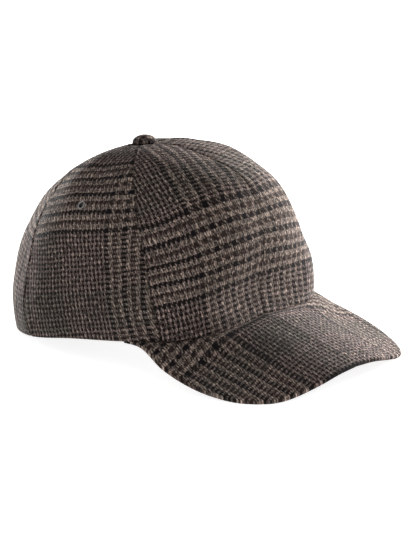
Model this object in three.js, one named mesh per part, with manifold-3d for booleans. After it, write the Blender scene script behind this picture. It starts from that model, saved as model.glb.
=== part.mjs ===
import * as THREE from 'three';
import * as BufferGeometryUtils from 'three/addons/utils/BufferGeometryUtils.js';
import Module from 'manifold-3d';

const wasm = await Module();
wasm.setup();

// A cap of six sewn panels with a curved peak. Millimetres, +Z up, front towards -Y, the wearer's left
// towards +X. The cap is shaped with its rim level and the middle of the rim at the origin. At the end
// it is tipped back until its hem and its peak stand on the floor, as it lies by itself on a table.
//
// Places on the crown have two angles in degrees: an azimuth round the rim, 0 in front, 90 at the
// wearer's left and 180 behind, and an angle up from the rim, 0 at the hem and 90 at the button.

// Crown
const RIM_HALF_WIDTH = 85;
const RIM_HALF_LENGTH = 93.5;
const FRONT_SQUARENESS = 2.85; // 2 is an ellipse, more is squarer at the corners
const BACK_SQUARENESS = 2.1;
const CROWN_HEIGHT = 112;
const APEX_FORWARD = 3.5;

// Cloth
const WALL = 2;
const HEM_WALL = 3; // the cloth turned in on itself
const HEM_DEPTH = 13;
const SEAM_GAP = 0.3;
const SEAM_DIP = 0.8; // how far the cloth is drawn in at a seam
const SEAM_DIP_REACH = 3;

// Peak
const PEAK_LENGTH = 73;
const PEAK_HALF_SPAN = 61; // azimuth of each corner
const PEAK_THICKNESS = 3.2;
const CORNER_THICKNESS = 1.8;
const PEAK_TUCK = 2.6; // how far its inner edge goes in under the hem
const PEAK_SLOPE = 0.39;
const PEAK_LIFT = 8.5; // height of the sheet that it is bent from, at the middle of the front rim
const PEAK_BLEND = 22; // over this length the peak leaves the line of the rim for that sheet

// Button
const BUTTON_RADIUS = 7.8;
const BUTTON_HEIGHT = 5.6;
const SHANK_RADIUS = 2.4;
const APEX_HOLE_RADIUS = 3;
const CLINCH_RADIUS = 7;
const CLINCH_THICKNESS = 1;

// Eyelets
const EYELET = { azimuth: 86, up: 44 };
const EYELET_BORE_RADIUS = 1.7;
const EYELET_BARREL_RADIUS = 2.2;
const EYELET_FLANGE_RADIUS = 3.2;
const EYELET_FLANGE_THICKNESS = 0.6;
const EYELET_CLEARANCE = 0.5; // the flat flanges stand this far off the rounded cloth

// Where the cloth lies on the floor it is pressed flat by this much
const PRESSED_FLAT = 0.5;

// Swell of the crown against a plain quarter ellipse. The corner columns are added halfway between
// the side and the front or back.
const SWELL = [
  { up: 0, side: 1, front: 1, back: 1, frontCorner: 0, backCorner: 0 },
  { up: 12, side: 1.015, front: 0.99, back: 1.03, frontCorner: 0.11, backCorner: 0 },
  { up: 25, side: 1.01, front: 1.165, back: 1.085, frontCorner: -0.02, backCorner: -0.03 },
  { up: 40, side: 1.075, front: 1.23, back: 1.09, frontCorner: -0.08, backCorner: -0.07 },
  { up: 55, side: 1.065, front: 1.13, back: 1.025, frontCorner: 0.005, backCorner: -0.02 },
  { up: 70, side: 1.04, front: 1.055, back: 0.99, frontCorner: 0.01, backCorner: 0 },
  { up: 90, side: 1, front: 1, back: 1, frontCorner: 0, backCorner: 0 },
];

// The rim rises a little over the peak and dips behind the ears.
const RIM_LIFT = [
  { azimuth: 0, lift: 4.8 },
  { azimuth: 16, lift: 3 },
  { azimuth: 30, lift: 2.2 },
  { azimuth: 54, lift: 2.2 },
  { azimuth: 72, lift: 1.8 },
  { azimuth: 90, lift: 0.9 },
  { azimuth: 115, lift: -2 },
  { azimuth: 145, lift: -2.6 },
  { azimuth: 180, lift: -1 },
];

// Drop of the peak's sheet from its middle line to each side.
const PEAK_ARCH = [
  { out: 0, drop: 0 },
  { out: 20, drop: 1.9 },
  { out: 40, drop: 7.2 },
  { out: 60, drop: 14 },
  { out: 80, drop: 20 },
  { out: 100, drop: 24 },
];

// The peak's outline: shares of its length by shares of its half span.
const PEAK_EDGE = [
  { span: 0, length: 1 },
  { span: 0.2, length: 0.99 },
  { span: 0.4, length: 0.9 },
  { span: 0.6, length: 0.64 },
  { span: 0.8, length: 0.27 },
  { span: 0.9, length: 0.095 },
  { span: 1, length: 0 },
];

// Each seam runs from an azimuth at the rim to another at the button.
const SEAMS = [
  { rim: 0, top: 0 },
  { rim: 46, top: 60.5 },
  { rim: 115.5, top: 133 },
  { rim: 180, top: 180 },
];

// Where the rows and columns of facets lie: angles up, and shares of a panel's width.
const ROWS_UP = [3.5, 6, 7.2, 12, 18, 24, 30, 36, 42, 48, 54, 60, 66, 72, 78, 84];
const COLUMNS = [0, 0.012, 0.04, 0.13, 0.25, 0.375, 0.5, 0.625, 0.75, 0.87, 0.96, 0.988, 1];
const PEAK_ACROSS = [0, 0.07, 0.16, 0.3, 0.46, 0.62, 0.78, 0.91, 1];
const PEAK_SECTIONS = 36;
const EDGE_TURNS = [0.2, 0.4, 0.6, 0.8]; // corners of a rounded edge, as shares of half a turn

const radians = THREE.MathUtils.degToRad;
const mix = THREE.MathUtils.lerp;
const ease = THREE.MathUtils.smoothstep;

// A smooth curve through a table's rows, read at x.
function read(table, xColumn, column, x) {
  const last = table.length - 1;
  let i = 0;
  while (i < last - 1 && x > table[i + 1][xColumn]) i += 1;
  const slope = (k) => {
    const a = table[Math.max(k - 1, 0)];
    const b = table[Math.min(k + 1, last)];
    return (b[column] - a[column]) / (b[xColumn] - a[xColumn]);
  };
  const [p, q] = [table[i], table[i + 1]];
  const span = q[xColumn] - p[xColumn];
  const t = THREE.MathUtils.clamp((x - p[xColumn]) / span, 0, 1);
  const [t2, t3] = [t * t, t * t * t];
  return (2 * t3 - 3 * t2 + 1) * p[column] + (t3 - 2 * t2 + t) * span * slope(i)
    + (3 * t2 - 2 * t3) * q[column] + (t3 - t2) * span * slope(i + 1);
}

// The rim's outer edge, and how far round from the side it is: 0 at the side, 1 in front and behind.
function rimPlace(azimuth) {
  const [s, c] = [Math.sin(radians(azimuth)), Math.cos(radians(azimuth))];
  const squareness = mix(FRONT_SQUARENESS, BACK_SQUARENESS, (1 - c) / 2);
  const sideways = Math.abs(s / RIM_HALF_WIDTH) ** squareness;
  const lengthways = Math.abs(c / RIM_HALF_LENGTH) ** squareness;
  const radius = (sideways + lengthways) ** (-1 / squareness);
  const lift = read(RIM_LIFT, 'azimuth', 'lift', Math.abs(azimuth));
  return {
    point: new THREE.Vector3(radius * s, -radius * c, lift),
    end: lengthways / (sideways + lengthways),
  };
}

const rimPoint = (azimuth) => rimPlace(azimuth).point;

// The crown's outer face. It is flat under the button.
function crownPoint(azimuth, up) {
  const { point: rim, end } = rimPlace(azimuth);
  const face = rim.y < 0 ? 'front' : 'back';
  const swell = mix(read(SWELL, 'up', 'side', up), read(SWELL, 'up', face, up), end)
    + 4 * end * (1 - end) * read(SWELL, 'up', `${face}Corner`, up);
  const out = swell * Math.cos(radians(up));
  const rise = swell * Math.sin(radians(up));
  const place = new THREE.Vector3(
    rim.x * out,
    mix(-APEX_FORWARD, rim.y, out),
    mix(rim.z, CROWN_HEIGHT, rise),
  );
  const fromApex = Math.hypot(place.x, place.y + APEX_FORWARD);
  place.z = mix(CROWN_HEIGHT, place.z, ease(fromApex, BUTTON_RADIUS, 2.2 * BUTTON_RADIUS));
  return place;
}

// The directions of a surface at a place: along its first measure, along its second, and square to both.
function directions(surface, a, b, step = 0.05) {
  const along = surface(a + step, b).sub(surface(a - step, b)).normalize();
  const across = surface(a, b + step).sub(surface(a, b - step)).normalize();
  return { along, across, outward: along.clone().cross(across).normalize() };
}

// The points of a rounded edge of the given thickness. It turns from `from` through `through`.
function roundedEdge(centre, from, through, thickness) {
  return EDGE_TURNS.map((share) => centre.clone()
    .addScaledVector(from, Math.cos(Math.PI * share) * thickness / 2)
    .addScaledVector(through, Math.sin(Math.PI * share) * thickness / 2));
}

// A closed shell through a row of sections. Each section is a thin loop: its first half lies on one
// face of the cloth, its second half comes back on the other.
function shell(sections) {
  const size = sections[0].length;
  const positions = sections.flat().flatMap((p) => p.toArray());
  const at = (section, point) => section * size + (point % size);
  const index = [];
  const quad = (a, b, c, d) => index.push(a, b, c, a, c, d);
  for (let s = 0; s + 1 < sections.length; s += 1) {
    for (let p = 0; p < size; p += 1) quad(at(s, p), at(s, p + 1), at(s + 1, p + 1), at(s + 1, p));
  }
  const last = sections.length - 1;
  for (let p = 0; p + 1 < size / 2; p += 1) {
    const back = size - 1 - p;
    quad(at(0, back), at(0, back - 1), at(0, p + 1), at(0, p));
    quad(at(last, p), at(last, p + 1), at(last, back - 1), at(last, back));
  }
  const geometry = new THREE.BufferGeometry();
  geometry.setAttribute('position', new THREE.Float32BufferAttribute(positions, 3));
  geometry.setIndex(index);
  return geometry;
}

// The azimuth of a seam at an angle up, kept half a gap away from it towards the panel.
function seamAzimuth(seam, up, towards) {
  const azimuth = mix(SEAMS[seam].rim, SEAMS[seam].top, up / 90);
  const middle = crownPoint(azimuth, up);
  const radius = Math.hypot(middle.x, middle.y + APEX_FORWARD);
  return azimuth + towards * THREE.MathUtils.radToDeg(SEAM_GAP / 2 / radius);
}

// One panel on the wearer's left, from one seam to the next.
function panelSection(seam, share) {
  const topUp = 90 - THREE.MathUtils.radToDeg(APEX_HOLE_RADIUS / RIM_HALF_WIDTH);
  const bottomUp = THREE.MathUtils.radToDeg(HEM_WALL / 2 / CROWN_HEIGHT);
  const ups = [bottomUp, ...ROWS_UP, topUp].reverse();
  const [outer, inner] = [[], []];
  let edge = [];
  for (const up of ups) {
    const from = seamAzimuth(seam, up, 1);
    const to = seamAzimuth(seam + 1, up, -1);
    const width = crownPoint(from, up).distanceTo(crownPoint(to, up));
    const azimuth = mix(from, to, share);
    const face = crownPoint(azimuth, up);
    const { across, outward } = directions(crownPoint, azimuth, up);
    const toSeam = Math.min(share, 1 - share) * width;
    const dip = SEAM_DIP * Math.max(0, 1 - toSeam / SEAM_DIP_REACH) ** 2;
    const height = face.z - rimPoint(azimuth).z;
    const wall = mix(HEM_WALL, WALL, ease(height, HEM_DEPTH - 1.5, HEM_DEPTH + 1.5));
    outer.push(face.clone().addScaledVector(outward, -dip));
    inner.push(face.clone().addScaledVector(outward, -wall));
    if (up === bottomUp) {
      const centre = outer.at(-1).clone().add(inner.at(-1)).multiplyScalar(0.5);
      edge = roundedEdge(centre, outward, across.negate(), wall - dip);
    }
  }
  return [...outer, ...edge, ...inner.reverse()];
}

// Reach of the peak out from the rim.
function peakReach(azimuth) {
  return PEAK_LENGTH * read(PEAK_EDGE, 'span', 'length', Math.abs(azimuth) / PEAK_HALF_SPAN);
}

// The peak's upper face, `out` millimetres beyond the rim.
function peakPoint(azimuth, out) {
  const rim = rimPoint(azimuth);
  const x = rim.x + out * Math.sin(radians(azimuth));
  const y = rim.y - out * Math.cos(radians(azimuth));
  const sheet = PEAK_LIFT - PEAK_SLOPE * (-y - RIM_HALF_LENGTH)
    - read(PEAK_ARCH, 'out', 'drop', Math.abs(x));
  return new THREE.Vector3(x, y, mix(rim.z - SEAM_GAP, sheet, ease(out, -PEAK_TUCK, PEAK_BLEND)));
}

function peakSection(azimuth) {
  const corner = (Math.abs(azimuth) / PEAK_HALF_SPAN) ** 6;
  const thickness = mix(PEAK_THICKNESS, CORNER_THICKNESS, corner);
  const edgeOut = peakReach(azimuth) - thickness / 2;
  const [upper, lower] = [[], []];
  let edge = [];
  for (const share of PEAK_ACROSS) {
    const out = mix(-PEAK_TUCK, edgeOut, share);
    const face = peakPoint(azimuth, out);
    const { across, outward: down } = directions(peakPoint, azimuth, out);
    upper.push(face);
    lower.push(face.clone().addScaledVector(down, thickness));
    if (share === 1) {
      const centre = face.clone().addScaledVector(down, thickness / 2);
      edge = roundedEdge(centre, down.negate(), across, thickness);
    }
  }
  return [...upper, ...edge, ...lower.reverse()];
}

function peak() {
  const sections = [];
  for (let i = 0; i <= PEAK_SECTIONS; i += 1) {
    sections.push(peakSection(mix(-PEAK_HALF_SPAN, PEAK_HALF_SPAN, i / PEAK_SECTIONS)));
  }
  return shell(sections);
}

// A ring or knob turned about Z, from [radius, height] corners listed from the bottom up.
function turned(corners, segments) {
  return new THREE.LatheGeometry(corners.map(([r, z]) => new THREE.Vector2(r, z)), segments)
    .rotateX(Math.PI / 2);
}

// The button's dome, its shank through the apex and the disc that clinches it inside.
function button() {
  const under = SEAM_GAP;
  const inside = -WALL - SEAM_GAP;
  const corners = [
    [0, inside - CLINCH_THICKNESS],
    [CLINCH_RADIUS, inside - CLINCH_THICKNESS],
    [CLINCH_RADIUS, inside],
    [SHANK_RADIUS, inside],
    [SHANK_RADIUS, under],
    [BUTTON_RADIUS * 0.9, under],
  ];
  for (const turn of [0, 15, 32, 50, 68, 82, 90]) {
    corners.push([
      BUTTON_RADIUS * Math.cos(radians(turn)),
      under + 1.2 + (BUTTON_HEIGHT - 1.2) * Math.sin(radians(turn)),
    ]);
  }
  corners.at(-1)[0] = 0;
  return turned(corners, 28).translate(0, -APEX_FORWARD, CROWN_HEIGHT);
}

// Carries a piece made about Z to a place on the crown, its Z along the cloth's outward direction.
function onCrown(geometry, { azimuth, up }) {
  const { outward } = directions(crownPoint, azimuth, up);
  const turn = new THREE.Quaternion().setFromUnitVectors(new THREE.Vector3(0, 0, 1), outward);
  const place = crownPoint(azimuth, up);
  return geometry.applyQuaternion(turn).translate(place.x, place.y, place.z);
}

// An eyelet: a barrel through the cloth with a rolled flange on each side.
function eyelet() {
  const outer = EYELET_CLEARANCE + EYELET_FLANGE_THICKNESS;
  const inner = -WALL - EYELET_CLEARANCE - EYELET_FLANGE_THICKNESS;
  return turned([
    [EYELET_BORE_RADIUS, inner],
    [EYELET_FLANGE_RADIUS - 0.3, inner],
    [EYELET_FLANGE_RADIUS, inner + 0.3],
    [EYELET_FLANGE_RADIUS, -WALL - EYELET_CLEARANCE],
    [EYELET_BARREL_RADIUS, -WALL - EYELET_CLEARANCE],
    [EYELET_BARREL_RADIUS, EYELET_CLEARANCE],
    [EYELET_FLANGE_RADIUS, EYELET_CLEARANCE],
    [EYELET_FLANGE_RADIUS, outer - 0.3],
    [EYELET_FLANGE_RADIUS - 0.3, outer],
    [EYELET_BORE_RADIUS + 0.3, outer],
    [EYELET_BORE_RADIUS, outer - 0.3],
    [EYELET_BORE_RADIUS, inner],
  ], 20);
}

function solid(geometry) {
  const bare = geometry.clone();
  bare.deleteAttribute('normal');
  bare.deleteAttribute('uv');
  const merged = BufferGeometryUtils.mergeVertices(bare, 1e-4);
  return new wasm.Manifold(new wasm.Mesh({
    numProp: 3,
    vertProperties: new Float32Array(merged.attributes.position.array),
    triVerts: new Uint32Array(merged.index.array),
  }));
}

function surfaceOf(manifold) {
  const { vertProperties, triVerts } = manifold.getMesh();
  const geometry = new THREE.BufferGeometry();
  geometry.setAttribute('position', new THREE.Float32BufferAttribute(vertProperties, 3));
  geometry.setIndex([...triVerts]);
  return geometry;
}

// The same piece on the wearer's right.
function mirrored(geometry) {
  const other = geometry.clone().scale(-1, 1, 1);
  const index = [...other.index.array];
  for (let i = 0; i < index.length; i += 3) [index[i], index[i + 1]] = [index[i + 1], index[i]];
  return other.setIndex(index);
}

const panels = ['front', 'side', 'back'].map((_, seam) => (
  shell(COLUMNS.map((share) => panelSection(seam, share)))
));
const hole = onCrown(
  new THREE.CylinderGeometry(EYELET_BARREL_RADIUS + SEAM_GAP, EYELET_BARREL_RADIUS + SEAM_GAP, 12, 20)
    .rotateX(Math.PI / 2),
  EYELET,
);
panels[1] = surfaceOf(solid(panels[1]).subtract(solid(hole)));
const leftEyelet = onCrown(eyelet(), EYELET);

const CLOTH = { color: 0x5a5048, roughness: 0.95, metalness: 0 };
const METAL = { color: 0x4a4642, roughness: 0.45, metalness: 0.9 };
const pieces = [
  { name: 'panel_front_left', shape: panels[0], finish: CLOTH },
  { name: 'panel_front_right', shape: mirrored(panels[0]), finish: CLOTH },
  { name: 'panel_side_left', shape: panels[1], finish: CLOTH },
  { name: 'panel_side_right', shape: mirrored(panels[1]), finish: CLOTH },
  { name: 'panel_back_left', shape: panels[2], finish: CLOTH },
  { name: 'panel_back_right', shape: mirrored(panels[2]), finish: CLOTH },
  { name: 'peak', shape: peak(), finish: CLOTH },
  { name: 'button', shape: button(), finish: CLOTH },
  { name: 'eyelet_left', shape: leftEyelet, finish: METAL },
  { name: 'eyelet_right', shape: mirrored(leftEyelet), finish: METAL },
];

// The tilt at which the hem behind and the peak in front are equally low.
function lowest(shape, tilt) {
  const points = shape.clone().rotateX(-radians(tilt));
  points.computeBoundingBox();
  return points.boundingBox.min.z;
}
const peakShape = pieces.find((piece) => piece.name === 'peak').shape;
let [tilt, step] = [10, 10];
while (step > 0.001) {
  step /= 2;
  tilt += lowest(peakShape, tilt) < lowest(panels[2], tilt) ? step : -step;
}

// Set down on the floor, with the middle of the whole cap over the origin.
const floor = lowest(panels[2], tilt) + PRESSED_FLAT;
const whole = new THREE.Box3();
for (const piece of pieces) {
  piece.shape = piece.shape.clone().rotateX(-radians(tilt)).translate(0, 0, -floor);
  piece.shape.computeBoundingBox();
  if (piece.shape.boundingBox.min.z < 0) {
    piece.shape = surfaceOf(solid(piece.shape).trimByPlane([0, 0, 1], 0));
    piece.shape.computeBoundingBox();
  }
  whole.union(piece.shape.boundingBox);
}
const middle = whole.getCenter(new THREE.Vector3());

const group = new THREE.Group();
for (const { name, shape, finish } of pieces) {
  const mesh = new THREE.Mesh(shape.translate(0, -middle.y, 0), new THREE.MeshStandardMaterial(finish));
  mesh.name = name;
  group.add(mesh);
}

export default group;
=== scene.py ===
# %% [markdown]
# # A six-panel tweed cap with a curved peak
# This lesson dresses a plain solid model of a cap in its real looks: a brushed wool cloth in a glen check,
# cut in six panels, with a turned-in hem, a covered button, two small eyelets and a curved peak.
# The solid model is loaded first. It fixes the size and the place of everything that follows, so each new
# piece can be laid on the same surfaces without any fitting by eye.

# %% Load the solid model
import math

import bmesh
import bpy
import numpy as np
from mathutils import Matrix, Vector


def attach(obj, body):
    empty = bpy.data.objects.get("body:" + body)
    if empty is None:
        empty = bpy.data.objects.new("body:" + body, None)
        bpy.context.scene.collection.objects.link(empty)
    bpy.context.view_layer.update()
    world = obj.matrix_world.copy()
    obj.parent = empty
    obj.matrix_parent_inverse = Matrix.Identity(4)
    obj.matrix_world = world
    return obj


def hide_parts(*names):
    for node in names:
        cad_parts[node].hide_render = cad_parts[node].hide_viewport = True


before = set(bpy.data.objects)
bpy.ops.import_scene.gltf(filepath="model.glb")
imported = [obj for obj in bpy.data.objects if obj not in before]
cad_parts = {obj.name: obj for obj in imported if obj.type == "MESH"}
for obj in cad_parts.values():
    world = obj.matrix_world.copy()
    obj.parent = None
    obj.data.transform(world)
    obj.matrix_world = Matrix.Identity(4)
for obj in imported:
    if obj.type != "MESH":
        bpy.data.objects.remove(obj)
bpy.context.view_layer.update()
print("nodes:", sorted(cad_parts))

# %% [markdown]
# ## The camera
# The photograph was taken with a long lens from the cap's own front right, a little above it. A long lens
# could be imitated with an orthographic camera, but the far side of the cap is slightly smaller than the
# near one, so a perspective camera stands 1.8 m away. It looks along its own -Z axis, so its rotation is
# built from three directions: right, up and back. The turn about the line of sight is the photograph's
# own small lean.

# %% Camera
LOOK_AT = Vector((0, 0, 0.065))
AZIMUTH, ELEVATION, LEAN = math.radians(-49.9), math.radians(16.5), math.radians(-0.7)
DISTANCE = 1.81
PIXELS_PER_METRE = 1550  # at the cap's middle, in a picture 540 pixels high
MIDDLE_FROM_CAP = (13.2, 26.1)  # the picture's middle, in pixels right of and below LOOK_AT

back = Vector((math.sin(AZIMUTH) * math.cos(ELEVATION), -math.cos(AZIMUTH) * math.cos(ELEVATION),
               math.sin(ELEVATION)))
level = Vector((math.cos(AZIMUTH), math.sin(AZIMUTH), 0))
upward = back.cross(level)
right = level * math.cos(LEAN) - upward * math.sin(LEAN)
over = level * math.sin(LEAN) + upward * math.cos(LEAN)

camera_data = bpy.data.cameras.new("camera")
camera_data.lens = PIXELS_PER_METRE * DISTANCE / 540 * camera_data.sensor_width
camera = bpy.data.objects.new("camera", camera_data)
turn = Matrix((right, over, back)).transposed().to_4x4()
across, down = MIDDLE_FROM_CAP
aim = LOOK_AT + right * (across / PIXELS_PER_METRE) - over * (down / PIXELS_PER_METRE)
camera.matrix_world = Matrix.Translation(aim + back * DISTANCE) @ turn
bpy.context.scene.collection.objects.link(camera)
bpy.context.scene.camera = camera
print("lens, mm:", round(camera_data.lens, 1))

# %% [markdown]
# ## Studio light
# Product photographs of clothes are often lit by large soft boxes at both sides, in front of white paper.
# The wool then shows a bright edge left and right and stays darker in the middle. Spot or point lights
# would give hard shadows, so the lights here are area lights of about the size of real soft boxes. The
# world stands for the rest of the studio: white walls, and a ceiling that gives a little less light.

# %% Lights and world


def soft_box(name, place, size, power):
    """A square area light that faces the cap."""
    data = bpy.data.lights.new(name, "AREA")
    data.size, data.energy = size, power
    box = bpy.data.objects.new(name, data)
    box.location = place
    box.rotation_euler = (LOOK_AT - place).to_track_quat("-Z", "Y").to_euler()
    bpy.context.scene.collection.objects.link(box)
    print(name, "at", [round(c, 2) for c in place], "watts", power)


soft_box("box_right", LOOK_AT + level * 1.05 - back * 1.15 + upward * 0.42, size=1.0, power=225)
soft_box("box_left", LOOK_AT - level * 0.8 - back * 1.1 + upward * 0.14, size=0.36, power=260)

world = bpy.data.worlds.new("studio")
world.use_nodes = True
studio = world.node_tree.nodes
direction = studio.new("ShaderNodeTexCoord")
height = studio.new("ShaderNodeSeparateXYZ")
walls_to_ceiling = studio.new("ShaderNodeValToRGB")
walls, ceiling = walls_to_ceiling.color_ramp.elements
walls.position, walls.color = 0.1, (1, 1, 1, 1)
ceiling.position, ceiling.color = 0.55, (0.75, 0.75, 0.75, 1)
links = world.node_tree.links
links.new(direction.outputs["Generated"], height.inputs[0])
links.new(height.outputs["Z"], walls_to_ceiling.inputs[0])
links.new(walls_to_ceiling.outputs["Color"], studio["Background"].inputs["Color"])
studio["Background"].inputs["Strength"].default_value = 0.88
bpy.context.scene.world = world
bpy.context.scene.view_settings.view_transform = "Standard"

# %% [markdown]
# ## Shader maths in plain Python
# A woven cloth is mostly arithmetic: which thread is this, and which of two threads lies on top? Adding
# the nodes one by one hides that arithmetic. A small class that holds one socket and overloads the usual
# operators lets the sums be written as sums, and each sum adds its own Math node. Every other kind of node
# comes from one method, `node`.

# %% A socket that can be added and multiplied


class Wire:
    """One output socket of a material's tree, that can stand in a sum."""

    def __init__(self, finish, socket):
        self.finish, self.socket = finish, socket

    def maths(self, operation, *others):
        """A Math node with this wire in its first socket."""
        return self.finish.node("ShaderNodeMath", {"operation": operation}, dict(enumerate((self, *others))))

    def output(self, number):
        """Another output of the same node."""
        return Wire(self.finish, self.socket.node.outputs[number])

    def __add__(self, other):
        return self.maths("ADD", other)

    def __radd__(self, other):
        return self.maths("ADD", other)

    def __sub__(self, other):
        return self.maths("SUBTRACT", other)

    def __rsub__(self, other):
        return self.finish.node("ShaderNodeMath", {"operation": "SUBTRACT"}, {0: other, 1: self})

    def __mul__(self, other):
        return self.maths("MULTIPLY", other)

    def __rmul__(self, other):
        return self.maths("MULTIPLY", other)

    def __truediv__(self, other):
        return self.maths("DIVIDE", other)

    def __mod__(self, other):
        return self.maths("FLOORED_MODULO", other)

    def __pow__(self, other):
        return self.maths("POWER", other)

    def __lt__(self, other):
        return self.maths("LESS_THAN", other)

    def __gt__(self, other):
        return self.maths("GREATER_THAN", other)

    def floor(self):
        return self.maths("FLOOR")

    def fraction(self):
        return self.maths("FRACT")

    def least(self, other):
        return self.maths("MINIMUM", other)

    def most(self, other):
        return self.maths("MAXIMUM", other)

    def size(self):
        """The number without its sign."""
        return self.maths("ABSOLUTE")


class Finish:
    """A material under construction, with its Principled shader."""

    def __init__(self, name, **constants):
        self.material = bpy.data.materials.new(name)
        self.material.use_nodes = True
        self.tree = self.material.node_tree
        self.shader = self.tree.nodes["Principled BSDF"]
        for socket, value in constants.items():
            self.shader.inputs[socket.replace("_", " ")].default_value = value

    def node(self, kind, settings=None, values=None, out=0):
        """Adds any node: its settings first, then the values or wires of its sockets."""
        node = self.tree.nodes.new(kind)
        for key, value in (settings or {}).items():
            if key == "stops":
                ramp = node.color_ramp
                while len(ramp.elements) < len(value):
                    ramp.elements.new(1.0)
                for element, (place, colour) in zip(ramp.elements, value):
                    element.position, element.color = place, (*colour, 1)
            elif key == "interpolation":
                node.color_ramp.interpolation = value
            else:
                setattr(node, key, value)
        for key, value in (values or {}).items():
            self.feed(node.inputs[key], value)
        return Wire(self, node.outputs[out])

    def feed(self, socket, value):
        """Gives a socket its wire, or its constant."""
        if isinstance(value, Wire):
            self.tree.links.new(value.socket, socket)
        elif isinstance(value, tuple) and len(value) == 3 and socket.type == "RGBA":
            socket.default_value = (*value, 1)
        else:
            socket.default_value = value

    def blend(self, amount, a, b, way="MIX"):
        """Mixes two colours by a number from 0 to 1."""
        return self.node("ShaderNodeMix", {"data_type": "RGBA", "blend_type": way},
                         {0: amount, 6: a, 7: b}, out=2)

    def noise(self, place, scale, detail=2.0, roughness=0.5):
        """Noise from 0 to 1, with `scale` lumps to the metre."""
        return self.node("ShaderNodeTexNoise", {}, {"Vector": place, "Scale": scale, "Detail": detail,
                                                    "Roughness": roughness})

    def two_noises(self, place, scale, detail):
        """Two unrelated noises, the red and the green of a coloured one."""
        colour = self.noise(place, scale, detail).output(1)
        red = self.node("ShaderNodeSeparateColor", {}, {0: colour})
        return red, red.output(1)

    def surface(self, **links):
        """Joins the shader's inputs to their wires and gives the material."""
        for socket, wire in links.items():
            self.feed(self.shader.inputs[socket.replace("_", " ")], wire)
        return self.material


print("Wire operators:", [n for n in vars(Wire) if n.startswith("__") and n != "__module__"])

# %% [markdown]
# ## The tweed
# The cloth is a 2/2 twill: each thread goes over two and under two, one step further in each row, which
# gives the faint slanted line of tweed. The glen check is nothing but the order of the coloured threads.
# In the bold bands they go four blue-black, four tan, four brown, four tan. In the fine bands they go two
# dark, two taupe, and in a part of the band olive grey takes the place of taupe. Where a bold band of one
# direction crosses a fine band of the other, there are lines, where two fine bands cross there is the small
# check, and where two bold ones cross the large broken check.
# A picture of the cloth could be painted on, but woven from its threads like this it stays sharp at any
# distance and every crossing is right. The wool is brushed: its threads wander, their colours are flecked,
# and loose hairs lie across them. A brushed thread doesn't hide the one below it completely, so the upper and
# the lower colour are mixed, and painted shade draws dark slanted lines between the ribs of the twill.

# %% Thread sizes and colours
THREAD = 0.0008  # from one thread to the next
BOLD_BAND, FINE_BAND = 68, 90  # threads
REPEAT = BOLD_BAND + FINE_BAND
OLIVE_FROM, OLIVE_TO = 78, 112  # between these threads of a repeat the light yarn is olive grey
BLUE_BLACK = (0.004, 0.004, 0.0065)
BROWN = (0.066, 0.046, 0.040)
TAN = (0.320, 0.257, 0.226)
DARK = (0.008, 0.0048, 0.0042)
TAUPE = (0.300, 0.234, 0.218)
OLIVE = (0.205, 0.185, 0.166)
# painted shade for the valleys between the twill's ribs
PAINTED_RIB_SHADE = (0.006, 0.004, 0.0035)
HAIR = (0.110, 0.083, 0.075)
print("the check repeats after", round(REPEAT * THREAD * 1000, 1), "mm")

# %% Orders and unevenness of the threads
BOLD_ORDER = [(0, BLUE_BLACK), (0.25, TAN), (0.5, BROWN), (0.75, TAN)]  # shares of 16 threads
WARP_START = 2  # the warp's order runs this many threads ahead of the weft's
SWAY, DRIFT = 0.0015, 0.0042  # metres by which a thread wanders, over short and over long stretches
FLECKS = [(0.37, (0.1, 0.1, 0.1)), (0.5, (0.8, 0.8, 0.8)), (0.65, (3.2, 3.05, 2.85))]
ROUND_SHADE = [(0, (0.35, 0.35, 0.35)), (0.6, (1.12, 1.12, 1.12))]  # from a thread's edge to its top
LOOSE_HAIRS = [(0.47, (0, 0, 0)), (0.72, (1, 1, 1))]
WEAR = [(0.3, (0.86, 0.86, 0.86)), (0.7, (1.12, 1.12, 1.1))]
print("stops of the fleck ramp:", [place for place, colour in FLECKS])

# %% The cloth's finish


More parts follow.
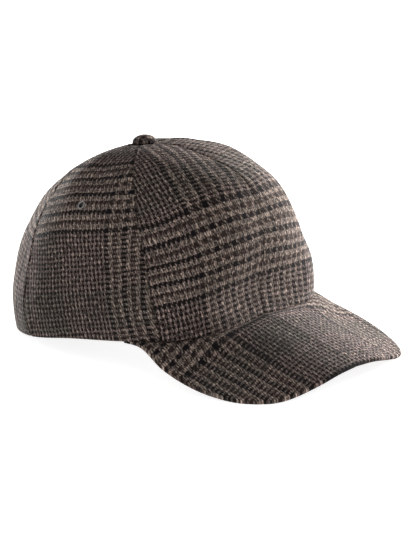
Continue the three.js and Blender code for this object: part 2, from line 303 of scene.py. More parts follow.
def tweed(name):
    """The cloth, read from the UV map that gives each point's place on the flat cloth in metres."""
    f = Finish(name, Roughness=0.92, Sheen_Weight=0.01, Sheen_Roughness=0.4,
               Sheen_Tint=(0.95, 0.86, 0.82, 1), Specular_IOR_Level=0.05)
    place = f.node("ShaderNodeUVMap", {"uv_map": "cloth"})
    u = f.node("ShaderNodeSeparateXYZ", {}, {0: place})
    v = u.output(1)

    # no thread of a woollen cloth runs quite straight
    sway_u, sway_v = f.two_noises(place, 260, 3.0)
    drift_u, drift_v = f.two_noises(place, 22, 1.0)
    warp_place = (u + (sway_u - 0.5) * SWAY + (drift_u - 0.5) * DRIFT) / THREAD
    weft_place = (v + (sway_v - 0.5) * SWAY + (drift_v - 0.5) * DRIFT) / THREAD
    warp, weft = warp_place.floor(), weft_place.floor()

    def thread_colour(thread):
        """The colour of a thread by its number."""
        in_repeat = thread % REPEAT
        bold_order = f.node("ShaderNodeValToRGB", {"interpolation": "CONSTANT", "stops": BOLD_ORDER},
                            {0: (in_repeat / 16 + 0.01).fraction()})
        olive = (in_repeat > OLIVE_FROM) * (in_repeat < OLIVE_TO)
        light = (thread / 4 + 0.01).fraction() > 0.5
        fine_order = f.blend(light, DARK, f.blend(olive, TAUPE, OLIVE))
        return f.blend(in_repeat < BOLD_BAND, fine_order, bold_order)

    # which of the two threads is on top, how much of the warp's colour shows, and how round a thread stands
    on_top = ((warp + weft) % 4) < 2
    bold_weft = (weft % REPEAT) < BOLD_BAND
    warp_shows = on_top * (0.45 + bold_weft * 0.15) + (0.28 - bold_weft * 0.2)
    colour = f.blend(warp_shows, thread_colour(weft), thread_colour(warp + WARP_START))
    round_warp = 1 - ((warp_place.fraction() - 0.5) * 2).size() ** 2.5
    round_weft = 1 - ((weft_place.fraction() - 0.5) * 2).size() ** 2.5
    height = on_top * round_warp + (1 - on_top) * round_weft

    # flecks in the yarn, and the shade at each thread's edges
    along_warp = f.node("ShaderNodeMapping", {}, {0: place, 3: (1.3, 0.6, 1)})
    fleck = f.noise(along_warp, 560, 4.0, 0.85)
    for amount, stops in ((fleck, FLECKS), (height, ROUND_SHADE)):
        shade = f.node("ShaderNodeValToRGB", {"stops": stops}, {0: amount})
        colour = f.blend(1, colour, shade, "MULTIPLY")

    # painted shade in the valleys between the slanted ribs of the twill, two threads wide, deep in some
    # places and gone in others
    rib = ((warp_place + weft_place * 0.3) / 2).fraction()
    valley = ((rib - 0.5).size() * 2) ** 1.5 * (f.noise(place, 420, 2.0) * 2.4 - 0.35).most(0)
    colour = f.blend((valley * 0.95).least(0.95), colour, PAINTED_RIB_SHADE)

    # loose hairs, and patches where the cloth is more or less worn
    stretched = f.node("ShaderNodeMapping", {}, {0: place, 2: (0, 0, 0.6), 3: (1.0, 0.25, 1)})
    hairs = f.node("ShaderNodeValToRGB", {"stops": LOOSE_HAIRS}, {0: f.noise(stretched, 1400, 3.0, 0.7)})
    colour = f.blend(hairs * 0.16, colour, HAIR)
    worn = f.node("ShaderNodeValToRGB", {"stops": WEAR}, {0: f.noise(place, 45, 2.0)})
    colour = f.blend(1, colour, worn, "MULTIPLY")

    nap = f.noise(place, 650, 4.0, 0.75)
    bump = f.node("ShaderNodeBump", {}, {"Strength": 1.0, "Distance": 0.0011,
                                         "Height": height * 0.55 + nap * 0.9 + hairs * 0.25})
    return f.surface(Base_Color=colour, Normal=bump, Roughness=0.88 + nap * 0.12)


TWEED = tweed("tweed")
print("tweed nodes:", len(TWEED.node_tree.nodes))

# %% [markdown]
# ## Thread and metal
# The sewing thread at the hem is a dark brown polyester twist: a fine slanted stripe and a little more gloss
# than the wool. The eyelets are small rings of dark, dulled nickel, worn a little brighter where fingers and
# cloth rub them. An ambient occlusion node paints shade into the bore, where little open air is near.

# %% Thread and metal finishes


def sewing_thread():
    """Twisted dark brown thread."""
    f = Finish("sewing_thread", Specular_IOR_Level=0.35)
    place = f.node("ShaderNodeTexCoord", out=3)
    twist = f.node("ShaderNodeTexWave", {"bands_direction": "DIAGONAL"}, {"Vector": place, "Scale": 900.0})
    shade = f.blend(twist, (0.018, 0.014, 0.012), (0.045, 0.036, 0.030))
    bump = f.node("ShaderNodeBump", {}, {"Strength": 0.4, "Distance": 0.0001, "Height": twist})
    return f.surface(Base_Color=shade, Normal=bump, Roughness=0.55 + f.noise(place, 600) * 0.2)


def dark_nickel():
    """Dulled metal, with painted shade where little open air is near."""
    f = Finish("dark_nickel", Metallic=1.0)
    place = f.node("ShaderNodeTexCoord", out=3)
    rub = f.noise(place, 900, 3.0)
    shade = f.blend(rub, (0.20, 0.195, 0.19), (0.38, 0.37, 0.36))
    # painted shade: the bore turns nearly black where ambient occlusion finds little open air
    painted_shade_occlusion = f.node("ShaderNodeAmbientOcclusion", {"samples": 8}, {"Distance": 0.004}, out=1)
    shade = f.blend((painted_shade_occlusion * 1.9 - 0.75).most(0).least(1), (0.002, 0.002, 0.002), shade)
    grain = f.noise(place, 4000)
    bump = f.node("ShaderNodeBump", {}, {"Strength": 0.15, "Distance": 0.0001, "Height": grain})
    return f.surface(Base_Color=shade, Normal=bump, Roughness=0.3 + rub * 0.25)


THREAD_FINISH = sewing_thread()
NICKEL = dark_nickel()
print("finishes:", [m.name for m in (TWEED, THREAD_FINISH, NICKEL)])

# %% [markdown]
# ## The rim and the crown as formulas
# Where is a point of the crown? The solid model answers with two formulas, and the same ones are used here
# with the same named sizes, so the detailed cloth lies on the solids. Only at the two front corners of the
# rim it is fuller, by up to 6 mm, because the photographed cap bulges there. The rim is a rounded rectangle
# in plan, written as one curve with a squareness. From it the crown rises to the apex: the angle `up` goes
# from 0 at the rim to 90 at the apex, and a swell says how much fuller than an ellipse the crown is at that
# height. Everything is worked out in millimetres, on whole arrays at a time.

# %% Sizes of the crown, in millimetres
RIM_HALF_WIDTH, RIM_HALF_LENGTH = 85, 93.5
FRONT_SQUARENESS, BACK_SQUARENESS = 2.85, 2.1
CROWN_HEIGHT, APEX_FORWARD = 112, 3.5
WALL, HEM_WALL, HEM_DEPTH = 2, 3, 13
BUTTON_RADIUS, BUTTON_HEIGHT = 7.8, 5.6
APEX_HOLE_RADIUS = 3
# angle up: swell at the side, front and back, and what is added at the front and back corners
SWELL = [(0, 1, 1, 1, 0.06, 0), (12, 1.015, 0.99, 1.03, 0.09, 0), (25, 1.01, 1.165, 1.085, -0.02, -0.03),
         (40, 1.075, 1.23, 1.09, -0.08, -0.07), (55, 1.065, 1.13, 1.025, 0.005, -0.02),
         (70, 1.04, 1.055, 0.99, 0.01, 0), (90, 1, 1, 1, 0, 0)]
# angle round from the front: how high the rim's edge is there
RIM_LIFT = [(0, 4.8), (16, 3), (30, 2.2), (54, 2.2), (72, 1.8), (90, 0.9), (115, -2), (145, -2.6), (180, -1)]
# the seams: angle round at the rim, and at the apex
SEAMS = [(0, 0), (46, 60.5), (115.5, 133), (180, 180)]
print("crown, mm:", 2 * RIM_HALF_WIDTH, "wide,", 2 * RIM_HALF_LENGTH, "long,", CROWN_HEIGHT, "high")

# %% The smooth line through a table, and a step with soft ends


def mix(a, b, share):
    """From a to b, by a share from 0 to 1."""
    return a + (b - a) * share


def ease(x, start, end):
    """A step from 0 at the start to 1 at the end, level at both."""
    t = np.clip((x - start) / (end - start), 0, 1)
    return t * t * (3 - 2 * t)


def read(table, column, x):
    """The smooth line through one column of a table, at x."""
    t = np.array([row[0] for row in table], float)
    value = np.array([row[column] for row in table], float)
    before, after = np.maximum(np.arange(len(t)) - 1, 0), np.minimum(np.arange(len(t)) + 1, len(t) - 1)
    slope = (value[after] - value[before]) / (t[after] - t[before])
    i = np.clip(np.searchsorted(t, x, side="right") - 1, 0, len(t) - 2)
    span = t[i + 1] - t[i]
    s = np.clip((x - t[i]) / span, 0, 1)
    return ((2 * s**3 - 3 * s**2 + 1) * value[i] + (s**3 - 2 * s**2 + s) * span * slope[i]
            + (3 * s**2 - 2 * s**3) * value[i + 1] + (s**3 - s**2) * span * slope[i + 1])


print("rim at the front is lifted", float(read(RIM_LIFT, 1, np.array(0.0))), "mm")

# %% The rim and the crown


def rim_place(azimuth):
    """The rim at an angle round from the front, and how much that place looks forwards or backwards."""
    s, c = np.sin(np.radians(azimuth)), np.cos(np.radians(azimuth))
    squareness = mix(FRONT_SQUARENESS, BACK_SQUARENESS, (1 - c) / 2)
    sideways = np.abs(s / RIM_HALF_WIDTH) ** squareness
    lengthways = np.abs(c / RIM_HALF_LENGTH) ** squareness
    radius = (sideways + lengthways) ** (-1 / squareness)
    lift = read(RIM_LIFT, 1, np.abs((azimuth + 180) % 360 - 180))
    return np.stack([radius * s, -radius * c, lift], -1), lengthways / (sideways + lengthways)


def crown(azimuth, up):
    """The outer face of the crown."""
    rim, end = rim_place(azimuth)
    front = rim[..., 1] < 0
    swell = mix(read(SWELL, 1, up), np.where(front, read(SWELL, 2, up), read(SWELL, 3, up)), end)
    swell = swell + 4 * end * (1 - end) * np.where(front, read(SWELL, 4, up), read(SWELL, 5, up))
    out, rise = swell * np.cos(np.radians(up)), swell * np.sin(np.radians(up))
    x = rim[..., 0] * out
    y = mix(-APEX_FORWARD, rim[..., 1], out)
    z = mix(rim[..., 2], CROWN_HEIGHT, rise)
    from_apex = np.hypot(x, y + APEX_FORWARD)
    z = mix(CROWN_HEIGHT, z, ease(from_apex, BUTTON_RADIUS, 2.2 * BUTTON_RADIUS))
    return np.stack([x, y, z], -1)


def outward(surface, a, b, step=0.05):
    """The direction away from a surface that is given by two numbers."""
    along = surface(a + step, b) - surface(a - step, b)
    over_it = surface(a, b + step) - surface(a, b - step)
    normal = np.cross(along, over_it)
    return normal / np.linalg.norm(normal, axis=-1, keepdims=True)


print("apex, mm:", crown(np.array(0.0), np.array(90.0)).round(2))

# %% [markdown]
# ## At rest
# A cap with a curved peak doesn't stand level. It rests on the hem behind and on the two low corners of
# the peak in front, so it leans forwards by a few degrees. One function takes the level cap to that
# position, and to metres. The last half millimetre that would be in the floor is pressed flat.

# %% Setting the cap down
TILT = math.radians(7.337)
SHIFT_BACK, SHIFT_UP = 34.72, 12.47


def at_rest(level_places):
    """From the level cap in millimetres to its place on the floor in metres."""
    x, y, z = np.moveaxis(level_places, -1, 0)
    back_y = math.cos(TILT) * y + math.sin(TILT) * z + SHIFT_BACK
    high_z = math.cos(TILT) * z - math.sin(TILT) * y + SHIFT_UP
    return np.stack([x, back_y, np.maximum(high_z, 0)], -1) / 1000


print("apex at rest, m:", at_rest(crown(np.array(0.0), np.array(90.0))).round(4))

# %% [markdown]
# ## From a grid to a sewn piece
# Every cloth part is made in the same way. `bmesh.ops.create_grid` gives a flat sheet of quads, and each
# of its points is laid on the part, out over the face, round the edge and back along the lining side. That
# is how cloth is folded, and it gives clean rows of quads for the seams. Its two sides are then joined with
# `bridge_loops`, which closes the wall. Solidify would be quicker, but it can't make the hem thicker than
# the wall above it. The UV map `cloth` keeps where each point was on the flat cloth.

# %% Laying a grid and closing it


def lay_grid(places, cloth):
    """A grid of quads on an array of places in metres, and the cloth place of each of its points."""
    rows, columns = places.shape[:2]
    bm = bmesh.new()
    bmesh.ops.create_grid(bm, x_segments=columns - 1, y_segments=rows - 1, size=1)
    points, on_cloth = {}, {}
    for vert in bm.verts:
        row = round((vert.co.y + 1) / 2 * (rows - 1))
        column = round((vert.co.x + 1) / 2 * (columns - 1))
        vert.co = places[row, column]
        points[row, column] = vert
        on_cloth[vert] = cloth[row, column]
    return bm, points, on_cloth


def chain(bm, verts):
    """The edges from each point of a row to the next."""
    return [bm.edges.get((a, b)) for a, b in zip(verts, verts[1:])]


def close_wall(bm, points, outer_rows, inner_rows):
    """Joins the outer and the inner face along both sides and along the first row."""
    last_row, last_column = max(points)
    for column in (0, last_column):
        outer = [points[row, column] for row in range(outer_rows)]
        inner = [points[last_row - row, column] for row in range(inner_rows)]
        bmesh.ops.bridge_loops(bm, edges=chain(bm, outer) + chain(bm, inner))
    first = [points[0, column] for column in range(last_column + 1)]
    last = [points[last_row, column] for column in range(last_column + 1)]
    bmesh.ops.bridge_loops(bm, edges=chain(bm, first) + chain(bm, last))
    open_edges = [edge for edge in bm.edges if edge.is_boundary]
    bmesh.ops.holes_fill(bm, edges=open_edges, sides=40)


print("helpers ready")

# %% Finishing a piece


def finished(bm, name, material, stands_for=None, on_cloth=None, sharp=50):
    """Turns a bmesh into a piece of the cap, checks that it is closed, and hides the solid part it stands
    for.
    """
    if on_cloth:
        uv = bm.loops.layers.uv.new("cloth")
        for face in bm.faces:
            for loop in face.loops:
                loop[uv].uv = on_cloth[loop.vert]
    bmesh.ops.recalc_face_normals(bm, faces=bm.faces[:])
    holes = sum(not edge.is_manifold for edge in bm.edges)
    volume = bm.calc_volume(signed=True) * 1e6
    mesh = bpy.data.meshes.new(name)
    bm.to_mesh(mesh)
    bm.free()
    mesh.shade_smooth()
    mesh.set_sharp_from_angle(angle=math.radians(sharp))
    mesh.materials.append(material)
    piece = bpy.data.objects.new(name, mesh)
    bpy.context.scene.collection.objects.link(piece)
    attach(piece, "root")
    if stands_for:
        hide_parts(stands_for)
    print(f"{name}: {len(mesh.polygons)} faces, {holes} open edges, {volume:.2f} cm3")
    return piece


# %% [markdown]
# ## The six panels
# Each panel is a tall gore: 90 to 110 mm wide at the rim and nearly nothing at the apex. It is cut flat from
# the cloth, so the check runs straight on the cutting table, and bends once the panel is sewn. A row round
# the crown lies on the flat cloth as an arc, because the gore narrows upwards, so the cloth place of a point
# is its distance up the middle of the panel plus a little that grows with the square of the distance from
# the middle. That makes the stripes sag towards the seams, as they do on the real cap.
# At a seam both panels roll inwards into a narrow valley, and beside it the allowance inside lifts them to a
# low ridge. The centre seam is pressed flatter. At the rim the cloth is turned in and stitched down 4 mm
# above the edge, which pulls a shallow groove.

# %% Rows and columns of a panel
STITCH_HEIGHT = 4.0
SEAM_GAP = 0.05
BOTTOM_UP = math.degrees(HEM_WALL / 2 / CROWN_HEIGHT)
TOP_UP = 90 - math.degrees(APEX_HOLE_RADIUS / RIM_HALF_WIDTH)
HEM_UPS = np.linspace(BOTTOM_UP, 4.3, 18)
UPS = np.concatenate([HEM_UPS, np.linspace(4.3, TOP_UP, 92)[1:]])[::-1]
NEAR_SEAM = np.array([0, 0.06, 0.18, 0.36, 0.6, 0.9, 1.3, 1.8, 2.5, 3.4])  # mm from the seam
MIDDLE_COLUMNS = 71
HEM_TURNS = 7
SEAM_DEPTH, CENTRE_SEAM_DEPTH = 0.55, 0.25
VALLEY_WIDTH, EDGE_RADIUS, RIDGE_PLACE = 3.2, 0.7, 2.4  # mm from the seam
GROOVE_DEPTH, GROOVE_WIDTH = 0.38, 0.75
WAVE = 0.14
FOLD_STEP, ROUND_FOLD = 0.7, 5  # mm of cloth between two rows of the hem's fold, and round the whole fold
DROP_START, DROP_WIDTH = 25, 68  # mm: a stripe's drop begins this far forwards of the middle


def columns_at(width):
    """Distances from the seam across a panel of some width: close together at both seams."""
    near = NEAR_SEAM * min(1.0, width / 12)
    middle = np.linspace(near[-1], width - near[-1], MIDDLE_COLUMNS + 2)[1:-1]
    return np.concatenate([near, middle, width - near[::-1]])


def seam_azimuth(seam, up, towards):
    """Where a panel's side runs, half a gap away from the seam."""
    azimuth = mix(SEAMS[seam][0], SEAMS[seam][1], up / 90)
    middle = crown(azimuth, up)
    radius = np.hypot(middle[..., 0], middle[..., 1] + APEX_FORWARD)
    return azimuth + towards * np.degrees(SEAM_GAP / 2 / radius)


print("rows:", len(UPS), "columns:", len(columns_at(70)))

# %% The cloth of one panel


def gentle_waves(azimuth, up):
    """Wool laid over a head form is never perfectly even: waves of a few tenths of a millimetre."""
    a, b = np.radians(azimuth), np.radians(up)
    waves = (np.sin(7 * a + 5 * b + 0.7) + np.sin(11 * a - 8 * b + 2.1) + np.sin(4 * a + 13 * b + 4.0)
             + 0.6 * np.sin(23 * a + 9 * b) + 0.6 * np.sin(17 * a - 21 * b + 1.3))
    return WAVE * waves * ease(up, 3, 14) * ease(88 - up, 0, 18)


def seam_dip(to_seam, depth):
    """How far the cloth lies below the smooth face near a seam: valley, rounded edge and low ridge."""
    dip = depth * np.maximum(0, 1 - to_seam / VALLEY_WIDTH) ** 2
    dip = dip + 1.8 * depth * (1 - np.sqrt(1 - np.maximum(0, 1 - to_seam / EDGE_RADIUS) ** 2))
    return dip - 0.4 * depth * np.exp(-(to_seam - RIDGE_PLACE) ** 2)


def panel_cloth(seam, check):
    """Places in millimetres of one panel on the wearer's left, folded over at the hem, and its cloth map."""
    widths = np.linalg.norm(crown(seam_azimuth(seam, UPS, 1), UPS)
                            - crown(seam_azimuth(seam + 1, UPS, -1), UPS), axis=-1)
    share = np.array([columns_at(w) / w for w in widths])
    up = np.repeat(UPS[:, None], share.shape[1], axis=1)
    azimuth = mix(seam_azimuth(seam, up, 1), seam_azimuth(seam + 1, up, -1), share)
    face, normal = crown(azimuth, up), outward(crown, azimuth, up)
    to_first, to_second = share * widths[:, None], (1 - share) * widths[:, None]
    height = face[..., 2] - rim_place(azimuth)[0][..., 2]

    dip = seam_dip(to_first, CENTRE_SEAM_DEPTH if seam == 0 else SEAM_DEPTH) + seam_dip(to_second, SEAM_DEPTH)
    dip += GROOVE_DEPTH * np.exp(-((height - STITCH_HEIGHT) / GROOVE_WIDTH) ** 2)
    puff = gentle_waves(azimuth, up)
    wall = mix(HEM_WALL, WALL, ease(height, HEM_DEPTH - 0.6, HEM_DEPTH + 0.6))
    outer = face + normal * (puff - dip)[..., None]
    inner = face + normal * (puff * 0.5 - wall)[..., None]

    # the rounded fold at the bottom, turned in half circle from the outer face to the inner one
    low_out, low_in = outer[-1], inner[-1]
    centre, half = (low_out + low_in) / 2, (low_out - low_in) / 2
    down_dir = np.cross(half, np.gradient(low_out, axis=0))
    down_dir *= -np.sign(down_dir[:, 2:3]) / np.linalg.norm(down_dir, axis=-1, keepdims=True)
    radius = np.linalg.norm(half, axis=-1, keepdims=True)
    turns = np.linspace(0, math.pi, HEM_TURNS + 2)[1:-1]
    fold = np.array([centre + half * math.cos(t) + down_dir * radius * math.sin(t) for t in turns])

    # the place on the flat cloth
    middle = crown(mix(seam_azimuth(seam, UPS, 1), seam_azimuth(seam + 1, UPS, -1), 0.5), UPS)
    steps = np.linalg.norm(np.diff(middle, axis=0), axis=-1)
    v_middle = np.concatenate([[0], np.cumsum(steps)])
    v_middle = v_middle[-1] - v_middle
    across_row = np.concatenate([np.zeros((len(UPS), 1)),
                                 np.cumsum(np.linalg.norm(np.diff(face, axis=1), axis=-1), axis=1)], axis=1)
    u = across_row - across_row[:, -1:] / 2
    narrowing = -np.gradient(across_row[:, -1], v_middle) / across_row[:, -1]
    v = v_middle[:, None] + check["arc"] * u**2 * np.clip(narrowing, -0.004, 0.03)[:, None] / 2
    drawn_down = (np.maximum(0, u + DROP_START) / DROP_WIDTH) ** 2 * (1 - 0.9 * ease(v, 50, 80))
    v += check["drop"] * drawn_down + check["lean"] * u
    flat = np.stack([u, check["stretch"] * v], -1)
    below = np.array([flat[-1] - [0, FOLD_STEP * (k + 1)] for k in range(HEM_TURNS)])
    turned_in = np.where((height < HEM_DEPTH)[..., None], flat * [1, -1] - [0, ROUND_FOLD], flat)
    return np.concatenate([outer, fold, inner[::-1]]), np.concatenate([flat, below, turned_in[::-1]])


# How the check lies on each panel. arc: how much of the gore's narrowing bends the rows. drop: millimetres
# by which a stripe drops at the back edge, where the cloth is drawn round the temple. lean: its fall to the
# back. stretch: threads closer or wider than on the flat cloth. band_middle: the middle of the bold warp
# band, forwards of the panel's middle. band_bottom: the lowest thread of the bold weft band.
CHECKS = {
    "front": {"arc": 1.0, "drop": 8.0, "lean": 0.0, "stretch": 0.95,
              "band_middle": 18.2, "band_bottom": 23.1},
    "side": {"arc": 0.0, "drop": 0.0, "lean": 0.08, "stretch": 1.04,
             "band_middle": 51.2, "band_bottom": 69.0},
    "back": {"arc": 0.5, "drop": 0.0, "lean": 0.0, "stretch": 1.0,
             "band_middle": 10.0, "band_bottom": 64.0},
}
PANELS = [(0, "front"), (1, "side"), (2, "back")]
for seam, part in PANELS:
    places, flat = panel_cloth(seam, CHECKS[part])
    print(part, "panel:", places.shape, "cloth, mm:", np.ptp(flat, axis=(0, 1)).round(0))

# %% [markdown]
# ## An eyelet hole
# The eyelet goes through the cloth of the side panel, so the cloth has a real hole. A boolean would cut it,
# but it leaves a ragged mix of faces. Here the quads inside the hole are deleted on both faces of the wall,
# the two open rings are pushed out to an even circle, and `bridge_loops` joins them through the wall.

# %% Punching the hole
EYELET_AZIMUTH, EYELET_UP = 86, 44
HOLE_RADIUS, HOLE_REACH = 0.0022, 0.006  # metres, across and along the hole's axis


def eyelet_place(side):
    """The middle of the eyelet on the outer face and its outward direction, at rest, in metres."""
    a, b = np.array(float(EYELET_AZIMUTH)), np.array(float(EYELET_UP))
    centre = crown(a, b)
    tip = centre + 10 * outward(crown, a, b)
    ends = at_rest(np.array([centre, tip]) * [side, 1, 1])
    return Vector(ends[0]), Vector(ends[1] - ends[0]).normalized()


def punch(bm, centre, axis):
    """A round hole through a wall of two grids."""
    def off_axis(place):
        """A place's offset square to the axis, and its depth along it."""
        flat = place - centre
        return flat - axis * flat.dot(axis), flat.dot(axis)

    inside = []
    for face in bm.faces:
        flat, depth = off_axis(face.calc_center_median())
        if flat.length < HOLE_RADIUS and abs(depth) < HOLE_REACH:
            inside.append(face)
    bmesh.ops.delete(bm, geom=inside, context="FACES")
    ring = [edge for edge in bm.edges if edge.is_boundary]
    for vert in {vert for edge in ring for vert in edge.verts}:
        flat, depth = off_axis(vert.co)
        vert.co = centre + axis * depth + flat.normalized() * HOLE_RADIUS
    bmesh.ops.bridge_loops(bm, edges=ring)
    print("hole with", len(ring), "edges in its two rings")


# %% Making the panels
HALF_BAND = BOLD_BAND * THREAD / 2

for seam, part in PANELS:
    check = CHECKS[part]
    places, flat = panel_cloth(seam, check)
    for side, word in ((1, "left"), (-1, "right")):
        bold_place = [side * check["band_middle"], -check["band_bottom"]]
        cloth = (flat * [side, 1] + bold_place) / 1000 + [HALF_BAND, 0]
        bm, points, on_cloth = lay_grid(at_rest(places * [side, 1, 1]), cloth)
        close_wall(bm, points, len(UPS), len(UPS))
        if part == "side":
            punch(bm, *eyelet_place(side))
        name = f"panel_{part}_{word}"
        finished(bm, name + "_cloth", TWEED, name, on_cloth)

# %% [markdown]
# ## Hem stitches
# One row of lockstitches holds the turned-in cloth. From outside each stitch is a short raised bar of
# thread, 3 mm long, lying in the groove. Some three hundred detailed stitches would cost more than they
# show, so each is a small ball of 24 faces, stretched and turned along the row.

# %% Stitching the hem
STITCH_STEP, STITCH_LENGTH, STITCH_RADIUS = 3.5, 2.9, 0.3
STITCH_DEPTHS = (-0.34, -HEM_WALL + 0.05)  # in the groove outside, and on the turned-in cloth

bm = bmesh.new()
row_up = math.degrees(math.asin(STITCH_HEIGHT / CROWN_HEIGHT))
turns = np.linspace(-180, 180, 3001)
row = crown(turns, np.full_like(turns, row_up))
length = np.concatenate([[0], np.cumsum(np.linalg.norm(np.diff(row, axis=0), axis=-1))])
count = int(length[-1] / STITCH_STEP)
middles = np.interp((np.arange(count) + 0.5) * length[-1] / count, length, turns)
for depth in STITCH_DEPTHS:
    for azimuth in middles:
        here = crown(np.array([azimuth - 0.2, azimuth + 0.2]), np.array([row_up, row_up]))
        normal = outward(crown, np.array(azimuth), np.array(row_up))
        ends = at_rest(here + depth * normal)
        tip = at_rest(here[:1] + (depth + 1) * normal)[0] - ends[0]
        z_axis = Vector(ends[1] - ends[0]).normalized()
        x_axis = Vector(tip).normalized()
        turn = Matrix((x_axis, z_axis.cross(x_axis), z_axis)).transposed().to_4x4()
        turn.translation = Vector(ends.mean(0))
        size = Matrix.Diagonal((STITCH_RADIUS / 1000, STITCH_RADIUS / 1000, STITCH_LENGTH / 2000, 1))
        bmesh.ops.create_uvsphere(bm, u_segments=6, v_segments=4, radius=1, matrix=turn @ size)
print(2 * count, "stitches")
finished(bm, "hem_stitches", THREAD_FINISH)

# %% [markdown]
# ## The peak
# Inside the peak is a bent board, covered with the same tweed above and below. Seen from the front it is an
# arch; seen from the side it runs straight down and forwards. It leaves the rim from a narrow edge tucked
# under the hem. The board is bent only from side to side, so its cloth map unrolls it: across, the length
# of the arch, and forwards, the length of the slope. A subdivided box could be pushed into this shape too,
# but the formula keeps the edge where the solid has it.

# %% Sizes of the peak, in millimetres
PEAK_LENGTH, PEAK_HALF_SPAN = 73, 61
PEAK_THICKNESS, CORNER_THICKNESS = 3.2, 1.8
PEAK_TUCK, PEAK_SLOPE, PEAK_LIFT, PEAK_BLEND = 2.6, 0.39, 8.5, 22
INTO_HEM = 0.5  # its inner edge is sewn up into the fold of the hem
# distance from the middle line: how far the board is bent down there
PEAK_ARCH = [(0, 0), (20, 1.9), (40, 7.2), (60, 14), (80, 20), (100, 24)]
# share of the span: reach as a share of the length
PEAK_EDGE = [(0, 1), (0.2, 0.99), (0.4, 0.9), (0.6, 0.64), (0.8, 0.27), (0.9, 0.095), (1, 0)]


def peak_face(azimuth, out):
    """The upper face of the peak, `out` millimetres beyond the rim."""
    rim = rim_place(azimuth)[0]
    x = rim[..., 0] + out * np.sin(np.radians(azimuth))
    y = rim[..., 1] - out * np.cos(np.radians(azimuth))
    sheet = PEAK_LIFT - PEAK_SLOPE * (-y - RIM_HALF_LENGTH) - read(PEAK_ARCH, 1, np.abs(x))
    return np.stack([x, y, mix(rim[..., 2] + INTO_HEM, sheet, ease(out, -PEAK_TUCK, PEAK_BLEND))], -1)


print("front edge of the peak, level cap, mm:", peak_face(np.array(0.0), np.array(71.4)).round(1))

# %% Making the peak
PEAK_COLUMNS, PEAK_ROWS, EDGE_TURNS = 181, 84, 9
PEAK_STRETCH = 0.9  # the cloth is drawn tight across the arch
PEAK_SHIFT = (88.8, -51.2)  # sets the bold warp band near the right corner, the bold weft band at the rim

span = np.linspace(-PEAK_HALF_SPAN, PEAK_HALF_SPAN, PEAK_COLUMNS)
thick = mix(PEAK_THICKNESS, CORNER_THICKNESS, (np.abs(span) / PEAK_HALF_SPAN) ** 6)
edge_out = PEAK_LENGTH * read(PEAK_EDGE, 1, np.abs(span) / PEAK_HALF_SPAN) - thick / 2
share = np.linspace(0, 1, PEAK_ROWS)[:, None]
azimuth = np.repeat(span[None], PEAK_ROWS, axis=0)
out = mix(-PEAK_TUCK, edge_out[None], share)
upper = peak_face(azimuth, out)
down_dir = outward(peak_face, azimuth, out)
down_dir *= -np.sign(down_dir[..., 2:3])
lower = upper + down_dir * thick[None, :, None]
centre, half = (upper[-1] + lower[-1]) / 2, (upper[-1] - lower[-1]) / 2
forward = peak_face(span, edge_out + 0.1) - peak_face(span, edge_out - 0.1)
forward /= np.linalg.norm(forward, axis=-1, keepdims=True)
radius = (thick / 2)[:, None]
fold = np.array([centre + half * math.cos(t) + forward * radius * math.sin(t)
                 for t in np.linspace(0, math.pi, EDGE_TURNS + 2)[1:-1]])
places = np.concatenate([upper, fold, lower[::-1]])

# the peak's flat cloth: sideways the length along the arch, forwards the length down the slope
across = np.linspace(0, 110, 221)
bend = np.gradient(read(PEAK_ARCH, 1, across), across)
arch_length = np.concatenate([[0], np.cumsum(np.hypot(1, bend)[1:] * np.diff(across))])
flat = np.stack([np.sign(places[..., 0]) * np.interp(np.abs(places[..., 0]), across, arch_length),
                 -places[..., 1] * math.hypot(1, PEAK_SLOPE)], -1)
cloth = (flat * [PEAK_STRETCH, 1] + PEAK_SHIFT) / 1000
bm, points, on_cloth = lay_grid(at_rest(places), cloth)
close_wall(bm, points, PEAK_ROWS, PEAK_ROWS)
finished(bm, "peak_cloth", TWEED, "peak", on_cloth)

# %% [markdown]
# ## The button
# The button is a metal dome covered with a disc of tweed, drawn tight underneath. Its half outline is turned
# about the apex with `spin`, which is how the real one is pressed. A sphere would be too plain: the cloth
# puckers where it is gathered under the rim, so the lower rings are pushed in and out a little.

# %% Making the button
BUTTON_SHIFT = (4.8, 11.2)  # where the middle of its disc is cut, in mm on the cloth: two bold bands cross
BUTTON_DRAW = 1.25  # the cloth is longer over the dome than the dome is across
FOOT = 1.1  # from here up the outline is a quarter of an ellipse
apex = crown(np.array(0.0), np.array(90.0)) + [0, 0, 0.3]
# share of the radius, and height in millimetres
outline = [(0, 0.0), (0.55, 0.0), (0.9, 0.05), (0.965, 0.35), (1.0, FOOT)]
outline += [(math.cos(math.radians(a)), FOOT + (BUTTON_HEIGHT - FOOT) * math.sin(math.radians(a)))
            for a in range(8, 90, 8)] + [(0, BUTTON_HEIGHT)]

bm = bmesh.new()
profile = [bm.verts.new((r * BUTTON_RADIUS, 0, z)) for r, z in outline]
edges = [bm.edges.new(pair) for pair in zip(profile, profile[1:])]
bmesh.ops.spin(bm, geom=profile + edges, cent=(0, 0, 0), axis=(0, 0, 1), angle=2 * math.pi, steps=72,
               use_merge=True)
bmesh.ops.remove_doubles(bm, verts=bm.verts[:], dist=0.001)
on_cloth = {}
for vert in bm.verts:
    angle = math.atan2(vert.co.y, vert.co.x)
    gather = max(0.0, 1 - abs(vert.co.z - 0.5) / 1.4) * math.hypot(vert.co.x, vert.co.y) / BUTTON_RADIUS
    pucker = 1 + 0.022 * gather * math.sin(19 * angle) + 0.012 * gather * math.sin(31 * angle + 1)
    on_cloth[vert] = [(c * BUTTON_DRAW + shift) / 1000 for c, shift in zip(vert.co.xy, BUTTON_SHIFT)]
    level_place = np.array([vert.co.x * pucker, vert.co.y * pucker, vert.co.z]) + apex
    vert.co = at_rest(level_place)
finished(bm, "button_cloth", TWEED, "button", on_cloth, sharp=70)

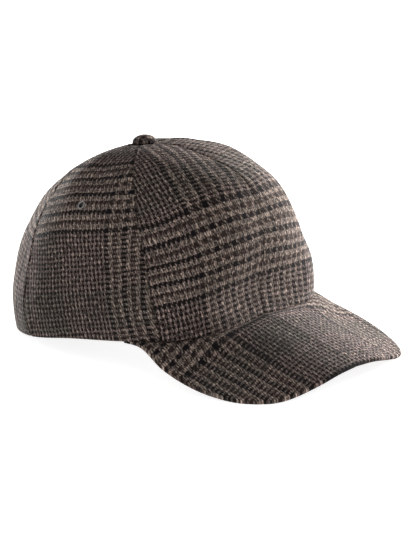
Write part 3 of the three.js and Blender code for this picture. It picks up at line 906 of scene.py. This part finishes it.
# %% [markdown]
# ## The eyelets
# Each eyelet is a small rolled ring of sheet metal with a barrel that goes through the cloth. Its half
# section is drawn once as a closed line of points, a bevel rounds the rolled lip, and a full `spin` turns it.

# %% Making the eyelets
EYELET_BORE, EYELET_BARREL, EYELET_LIP, LIP_HEIGHT = 1.95, 2.15, 2.8, 0.65  # mm: radii, and the lip's rise
EYELET_BEVEL = 0.16


def eyelet(side):
    """One ring, made about Z and carried to its hole."""
    inside = -WALL - 0.35  # the clinched flange stands just inside the wall
    section = [(EYELET_BORE, inside - 0.5), (EYELET_LIP, inside - 0.5), (EYELET_LIP, inside),
               (EYELET_BARREL, inside), (EYELET_BARREL, 0.1), (EYELET_LIP, 0.05),
               (EYELET_LIP, LIP_HEIGHT * 0.75), (EYELET_BORE + 0.3, LIP_HEIGHT),
               (EYELET_BORE, LIP_HEIGHT * 0.45)]
    bm = bmesh.new()
    profile = [bm.verts.new((r / 1000, 0, z / 1000)) for r, z in section]
    loop = [bm.edges.new(pair) for pair in zip(profile, profile[1:] + profile[:1])]
    corners = [profile[k] for k in (0, 1, 2, 6, 7)]
    bmesh.ops.bevel(bm, geom=corners, affect="VERTICES", offset=EYELET_BEVEL / 1000, segments=3, profile=0.5,
                    material=-1)
    bmesh.ops.spin(bm, geom=bm.verts[:] + bm.edges[:], cent=(0, 0, 0), axis=(0, 0, 1), angle=2 * math.pi,
                   steps=40, use_merge=True)
    centre, axis = eyelet_place(side)
    turn = axis.to_track_quat("Z", "Y").to_matrix().to_4x4()
    bmesh.ops.transform(bm, matrix=Matrix.Translation(centre) @ turn, verts=bm.verts[:])
    return bm


for side, word in ((1, "left"), (-1, "right")):
    finished(eyelet(side), f"eyelet_{word}_ring", NICKEL, f"eyelet_{word}", sharp=40)

# %% [markdown]
# ## The floor
# The cap rests on white paper. A large flat disc is enough: it throws light back up into the cloth. Such
# photographs are lit until the paper is pure white and its shadow is gone, so the disc also glows: painted
# light that hides the cap's shadow. Under the middle of the cap it doesn't glow, which leaves painted shade
# there, where the hollow inside is dark.

# %% Floor
FLOOR_RADIUS = 6
PAINTED_SHADE_RADIUS, GLOW_RADIUS = 0.008, 0.03  # metres from the middle of the cap: no glow yet, and full glow
CAP_MIDDLE = (0, SHIFT_BACK / 1000, 0)

# the paper glows with painted light, so the cap's shadow on it is gone
paper = Finish("white_paper_floor", Specular_IOR_Level=0.1, Emission_Strength=0.85)
spot = paper.node("ShaderNodeTexCoord", out=3)
reach = paper.node("ShaderNodeVectorMath", {"operation": "DISTANCE"}, {0: spot, 1: CAP_MIDDLE}, out=1)
# no painted glow under the middle of the cap, which leaves painted shade there
lit = paper.node("ShaderNodeMapRange", {"interpolation_type": "SMOOTHSTEP"},
                 {0: reach, 1: PAINTED_SHADE_RADIUS, 2: GLOW_RADIUS})
paper_shade = paper.blend(paper.noise(spot, 3.0), (0.48, 0.48, 0.48), (0.52, 0.52, 0.52))
paper_material = paper.surface(Base_Color=paper_shade, Roughness=0.9 + paper.noise(spot, 40.0) * 0.1,
                               Emission_Color=paper.blend(lit, (0, 0, 0), (1, 1, 1)))
print("glow grows from", PAINTED_SHADE_RADIUS, "to", GLOW_RADIUS, "m")

# %% The floor's disc
bm = bmesh.new()
bmesh.ops.create_circle(bm, cap_ends=True, segments=96, radius=FLOOR_RADIUS)
floor_mesh = bpy.data.meshes.new("floor")
bm.to_mesh(floor_mesh)
bm.free()
floor_mesh.materials.append(paper_material)
floor = bpy.data.objects.new("floor", floor_mesh)
bpy.context.scene.collection.objects.link(floor)
print("floor, m across:", 2 * FLOOR_RADIUS)

# %% [markdown]
# The dressed cap may stand only a little proud of the solid model.
